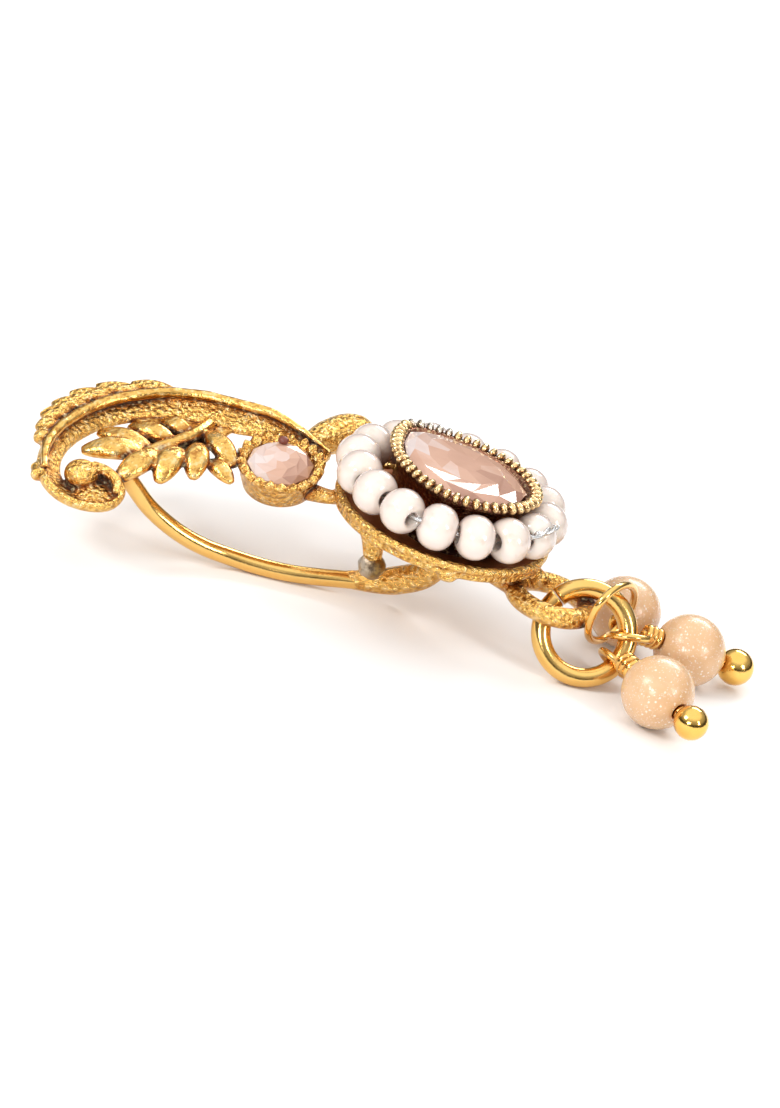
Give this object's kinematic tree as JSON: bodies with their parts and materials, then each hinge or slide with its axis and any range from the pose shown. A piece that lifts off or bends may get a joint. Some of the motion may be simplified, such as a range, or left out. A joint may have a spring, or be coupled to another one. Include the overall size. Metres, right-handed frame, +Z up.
{
  "type": "nath nose ring",
  "caption": "Gold-plated nath nose ring with a pearl-edged pear stone, a small round stone, a curled plume with leaves, a springy nose wire and glass bead drops on a jump ring",
  "frame": {"origin": "middle of the underside of the whole, on the table it lies on", "axes": "+X from the curled tip to the drops, +Z up, cup and stone facing up, nose wire on the near side at low Y"},
  "size_m": [0.0414, 0.0158, 0.0101],
  "materials": {
    "cast_gold": "antique gold plate over a grainy casting, dark in the recesses",
    "wire_gold": "polished gold plate",
    "champagne_stone": "faceted, foiled behind",
    "pearl": "lustred imitation pearl on silver wire",
    "peach_glass": "cloudy glass with fine glitter"
  },
  "bodies": {
    "root": {"cast_frame": "cast_gold", "pear_stone": "champagne_stone", "small_stone": "champagne_stone", "pearl_string": "pearl", "jump_ring": "wire_gold", "headpin_a": "wire_gold", "headpin_b": "wire_gold", "headpin_c": "wire_gold", "glass_bead_a": "peach_glass", "glass_bead_b": "peach_glass", "glass_bead_c": "peach_glass"}
  },
  "joints": []
}
